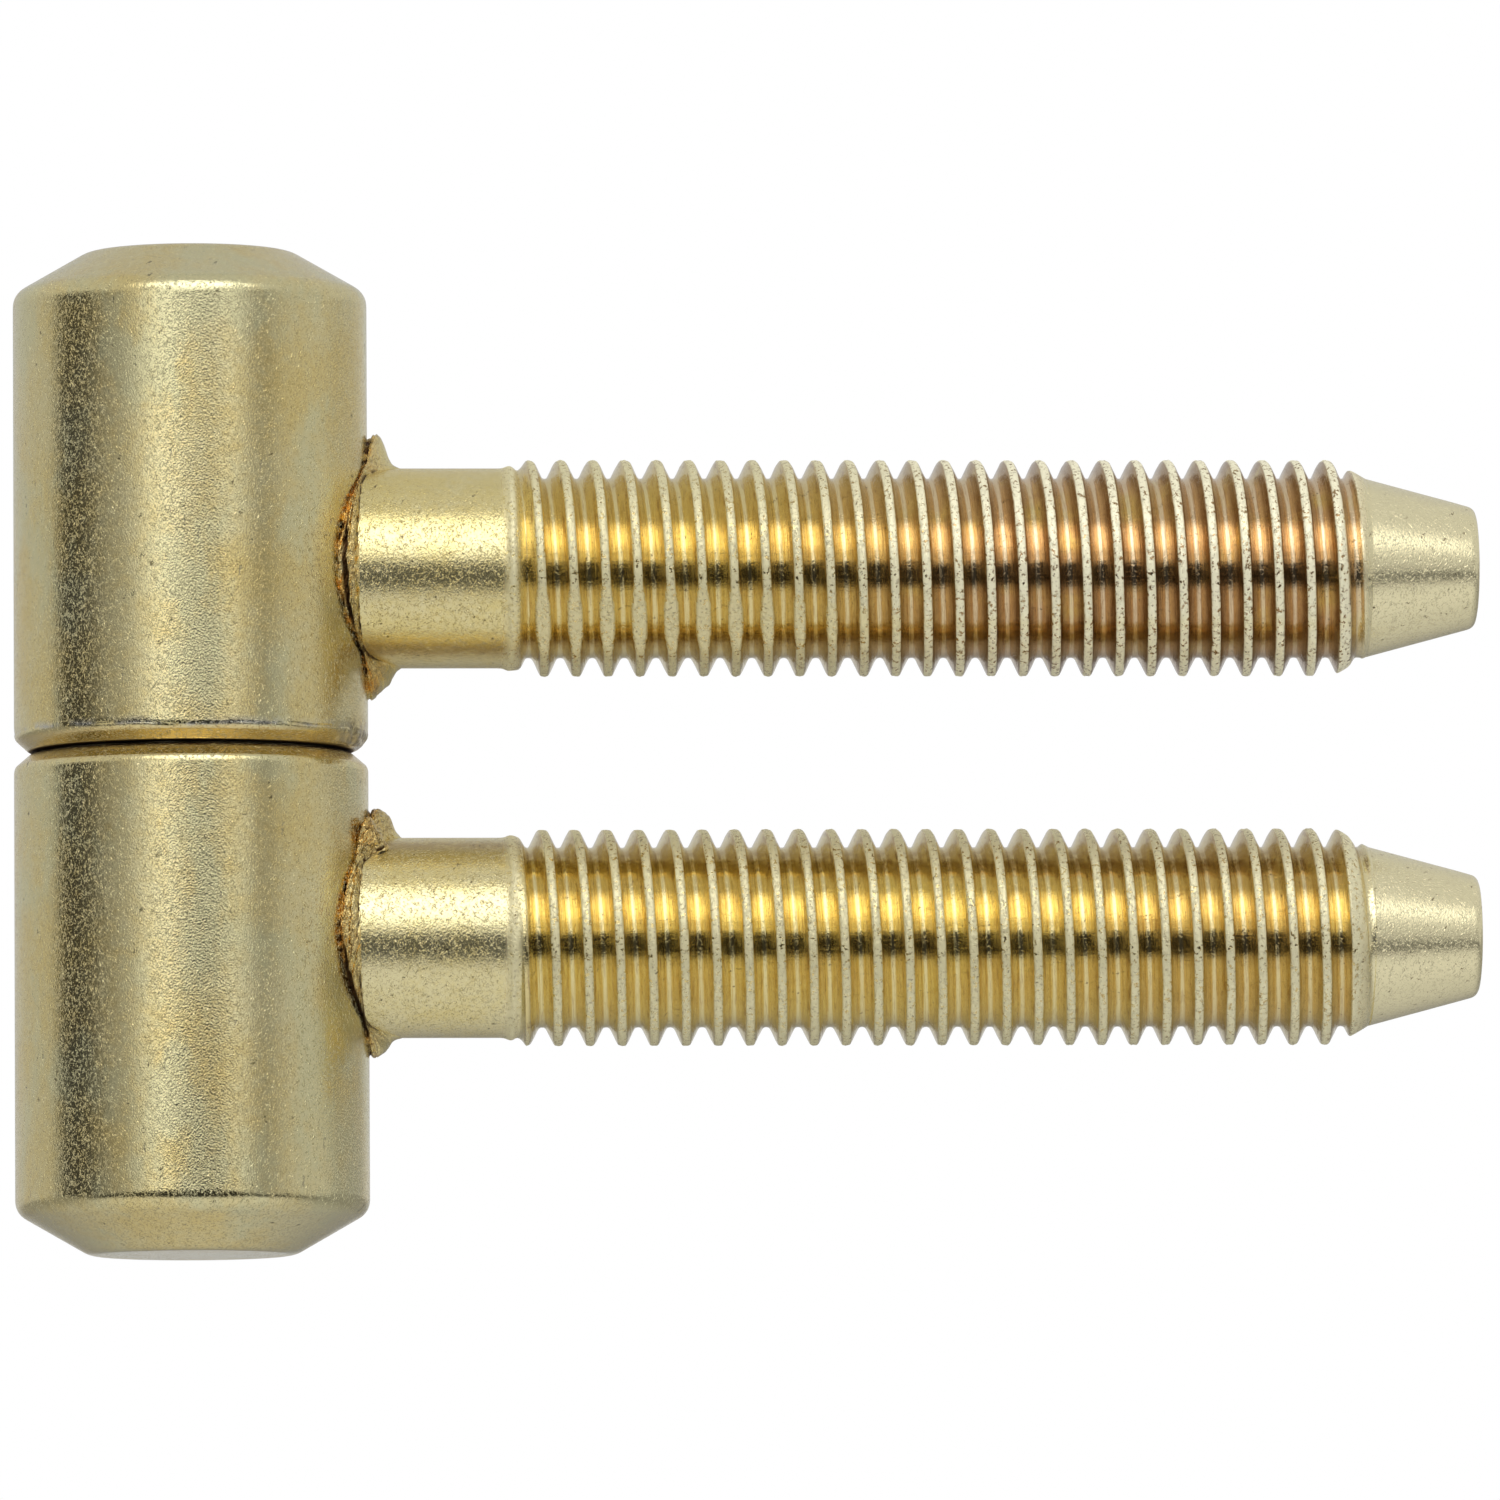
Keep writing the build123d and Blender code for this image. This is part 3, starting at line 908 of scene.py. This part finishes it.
in_folds = times(in_folds, fade(noise(place, 2.6, 4, 0.6), 0.38, 0.56))
vein_off = calc("ABSOLUTE", calc("SUBTRACT", noise(place, 3, 3, 0.6, 0.6), 0.5))
veins = times(fade(vein_off, 0, 0.045, 0.85, 0), crumple)
in_valley = fade(mark(tree, "valley"), 0.35, 0.75, 0, 0.95)
# thick film in the folds, and painted shade where they run deep, in the lip groove and in the valley
film_and_shade_in_folds = calc("MAXIMUM", calc("MAXIMUM", in_folds, veins), in_valley)
ridge_color = layered((0.84, 0.64, 0.27), (mark(tree, "outer"), (0.88, 0.54, 0.15)))
color = layered(film["Color"], (crescent, ridge_color), (film_and_shade_in_folds, (0.07, 0.032, 0.012)))
crinkle = times(noise(place, 4, 3, 0.6), fade(crumple, 0, 1, crinkle_plain, crinkle_crumpled))
finish_metal(shader, color, times(film_and_shade_in_folds, dark_dulling, bright), calc("ADD", grain["Height"], crinkle))

# %% [markdown]
# ## Pin and ball steel
# Neither is plated. The pin shows grinding lines and a smear of oil, and the ball is polished, with a film of
# grease. The lines could be turned into the mesh; noise squeezed along the hinge axis gives them more simply.
# %% Pin and ball steel
ground, oil_dulling, grind_height = 0.18, 0.12, 4
pin_finish, tree, shader, place = new_metal("pin_steel_ground")
grind_lines = noise(stretched(place, (0.25, 0.25, 9)), 2, 3, 0.6)
oil = fade(noise(place, 0.35, 3), 0.35, 0.7)
color = layered((0.62, 0.62, 0.61), (oil, (0.52, 0.5, 0.45)))
finish_metal(shader, color, times(oil, oil_dulling, ground), times(grind_lines, grind_height))

polished, grease_dulling = 0.06, 0.12
ball_finish, tree, shader, place = new_metal("ball_steel_polished")
grease = fade(noise(place, 0.8, 4), 0.4, 0.75)
color = layered((0.7, 0.7, 0.7), (grease, (0.6, 0.59, 0.56)))
finish_metal(shader, color, times(grease, grease_dulling, polished), grease)

# %% [markdown]
# ## Each piece rides on its body
# A door takes the leaf half with it, and the frame half stays. Parenting by hand could do that, but the frame
# knows its bodies, so each skin only names the body it rides on, the solid it replaces and its finish's slot.
# %% Bodies, nodes and slots
pieces = (
    (leaf_barrel, "leaf_half", "leaf_barrel", "barrel_plating", barrel_finish),
    (leaf_stem, "leaf_half", "leaf_stem", "stem_plating", stem_finish),
    (leaf_flash, "leaf_half", "leaf_weld_collar", "weld_plating", flash_finish),
    (frame_barrel, "frame_half", "frame_barrel", "barrel_plating", barrel_finish),
    (frame_stem, "frame_half", "frame_stem", "stem_plating", stem_finish),
    (frame_flash, "frame_half", "frame_weld_collar", "weld_plating", flash_finish),
    (pin, "frame_half", "hinge_pin", "pin_steel", pin_finish),
    (ball, "ball", "thrust_ball", "ball_steel", ball_finish),
)
for piece, body, node, slot, finish in pieces:
    piece.data.materials.append(finish)
    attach(piece, body)
    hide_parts(node)
print(len(pieces), "pieces ride on", sorted({body for _, body, *_ in pieces}))

# %% [markdown]
# ## Floor
# The hinge stands on a plain pale floor that takes its shadow. The photo was taken from slightly below, so
# the floor is clear when it is seen from underneath.
# %% Floor
floor_half = 1.5
floor_z = cad_box[0][2]
floor_mesh = bpy.data.meshes.new("studio_floor")
floor_corners = [(x * floor_half, y * floor_half, floor_z) for x, y in ((-1, -1), (1, -1), (1, 1), (-1, 1))]
floor_mesh.from_pydata(floor_corners, [], [(0, 1, 2, 3)])
floor = placed(floor_mesh)
floor.visible_glossy = False
floor_finish = bpy.data.materials.new("studio_floor_pale")
floor_finish.use_nodes = True
tree = floor_finish.node_tree
floor_shader = tree.nodes["Principled BSDF"]
plug((0.86, 0.86, 0.85), floor_shader.inputs["Base Color"])
plug(0.9, floor_shader.inputs["Roughness"])
seen_below = add(tree, "NewGeometry").outputs["Backfacing"]
clear = add(tree, "BsdfTransparent").outputs[0]
floor_mix = join("MixShader", {0: seen_below, 1: floor_shader.outputs[0], 2: clear})
plug(floor_mix.outputs[0], tree.nodes["Material Output"].inputs["Surface"])
floor_mesh.materials.append(floor_finish)
print("floor at z", floor_z)

# %% [markdown]
# ## Light tent
# Metal shows what stands round it more than its own colour. The photo's bands are a bright panel above, a
# pale table below and a dark gap between them, with walls behind. Panels could be built as glowing planes;
# written into the world by direction they leave no objects. Only mirrored rays see the tent: the camera and
# the floor see plain white of strength 1.
# %% Directions in the tent
world = bpy.data.worlds.new("light_tent")
bpy.context.scene.world = world
world.use_nodes = True
tent = world.node_tree
tent.nodes.clear()
direction = join("SeparateXYZ", {0: add(tent, "TexCoord").outputs["Generated"]}).outputs
azimuth = calc("DEGREES", calc("ARCTAN2", direction[0], times(direction[1], -1)))  # from straight in front
elevation = calc("DEGREES", calc("ARCSINE", direction[2]))
turned_away = calc("ABSOLUTE", azimuth)


def tent_ramp(degrees, span, stops, low=0, high=1):
    """Value by an angle in degrees out of a span, straight between stops of (degrees, value)."""
    ramp = join("ValToRGB", {0: times(degrees, 1 / span, 0.5)})
    bars = ramp.color_ramp.elements
    for _ in stops[2:]:
        bars.new(0.5)
    for bar, (angle, value) in zip(bars, stops):
        bar.position = angle / span + 0.5
        share = (value - low) / (high - low)
        bar.color = (share, share, share, 1)
    return times(ramp.outputs[0], high - low, low)


# %% Panels of the tent
panel_elevation, panel_half_height = 35, 19
panel_azimuth, panel_half_width = 2, 36
panel_light, ceiling_light = 2.4, 0.62
table_stops = ((-90, 0.72), (-50, 0.76), (-35, 0.7), (-25, 0.04), (30, 0.04))
table_behind_stops = ((-90, 0.74), (-62, 0.62), (-45, 0.5), (-28, 0.36), (-20, 0.3), (30, 0.3))
side_stops = (
    (-180, 0.62), (-102, 0.52), (-96, 0.04), (-73, 0.06), (-60, 0.28), (-44, 0.4), (-19, 1.46), (-4, 1.42),
    (12, 1.04), (23, 1.08), (44, 0.27), (64, 0.58), (180, 0.66),
)
gap_stops = (
    (-180, -6), (-60, -6), (-28, -1), (-14, 2.5), (-6, 4.9), (13, 4.9), (26, 0.5), (38, -13), (55, -8),
    (92, -8), (103, 4.5), (140, 4.5), (180, -6),
)
panel_up = calc("DIVIDE", calc("SUBTRACT", elevation, panel_elevation), panel_half_height)
panel_aside = calc("DIVIDE", calc("SUBTRACT", azimuth, panel_azimuth), panel_half_width)
panel_off = join("CombineXYZ", {0: panel_up, 1: panel_aside}).outputs[0]
panel_off = join("VectorMath", {0: panel_off}, operation="LENGTH").outputs["Value"]
ceiling = fade(panel_off, 0.5, 1.5, panel_light, ceiling_light)
ceiling = times(ceiling, fade(turned_away, 140, 165, 1, 0.92))
above = layered(tent_ramp(azimuth, 360, side_stops, 0, 2), (fade(elevation, 8, 17), ceiling))
table = tent_ramp(calc("SUBTRACT", elevation, fade(turned_away, 15, 40, 0, 8)), 180, table_stops)
table_behind = tent_ramp(elevation, 180, table_behind_stops)
below = layered(table, (fade(turned_away, 50, 100), table_behind))
gap_top = tent_ramp(azimuth, 360, gap_stops, -30, 30)
level = layered(below, (fade(calc("SUBTRACT", elevation, gap_top), -2.2, 2.2), above))
print("light tent with", len(side_stops), "stops round its sides")

# %% Who sees the tent
tent_light = join("Background", {"Color": level, "Strength": 1})
white = add(tent, "Background", {"Color": (1, 1, 1), "Strength": 1})
ray = add(tent, "LightPath").outputs
mirrored = calc("MAXIMUM", ray["Is Glossy Ray"], ray["Is Transmission Ray"])
mirrored = calc("SUBTRACT", mirrored, ray["Is Camera Ray"])
tent_shader = join("MixShader", {0: mirrored, 1: white.outputs[0], 2: tent_light.outputs[0]})
join("OutputWorld", {"Surface": tent_shader.outputs[0]})
print("world with", len(tent.nodes), "nodes")

# %% [markdown]
# ## Soft lamp
# The tent alone would leave no shadow under the hinge. A wide area lamp overhead gives a soft one. Mirrored
# rays don't see it, because the tent already holds the bright panel that the metal shows.
# %% Soft lamp overhead
lamp_data = bpy.data.lights.new("soft_lamp", "AREA")
lamp_data.size = 0.6
lamp_data.energy = 4
lamp = placed(lamp_data)
lamp.location = (0.1, -0.25, 0.7)
lamp.visible_glossy = False
print("lamp of", lamp_data.energy, "W")

# %% [markdown]
# ## Camera
# The photo shows the hinge nearly square on with a long lens: the seam bows up a little, so the camera stood
# slightly low, and the stems' ends show a sliver, so it stood slightly to the left. Its place is worked out
# from those angles and the width of the view, and not dragged by eye.
# %% Camera
import mathutils

camera_distance = 860
camera_azimuth = np.radians(-3.5)
camera_elevation = np.radians(-4.5)
camera_roll = np.radians(-0.33)
view_width = 67.87
aim = np.array((10.99, 0, 8.5))
level_reach = np.cos(camera_elevation)
back = np.array(
    (np.sin(camera_azimuth) * level_reach, -np.cos(camera_azimuth) * level_reach, np.sin(camera_elevation))
)
camera_data = bpy.data.cameras.new("photo_camera")
camera_data.sensor_width = 36
camera_data.lens = camera_data.sensor_width * camera_distance / view_width
camera_data.clip_end = 20
camera = placed(camera_data)
camera.location = (aim + camera_distance * back) * MM
level_view = mathutils.Vector(back).to_track_quat("Z", "Y")
camera.rotation_euler = (level_view @ mathutils.Quaternion((0, 0, 1), camera_roll)).to_euler()
bpy.context.scene.camera = camera
bpy.context.scene.view_settings.view_transform = "Standard"
print(f"camera lens {camera_data.lens:.0f} mm at {tuple(round(v, 3) for v in camera.location)}")

# %% [markdown]
# ## Size of the solids
# The skin has to keep the size of the solids.
# %% Json module
import json
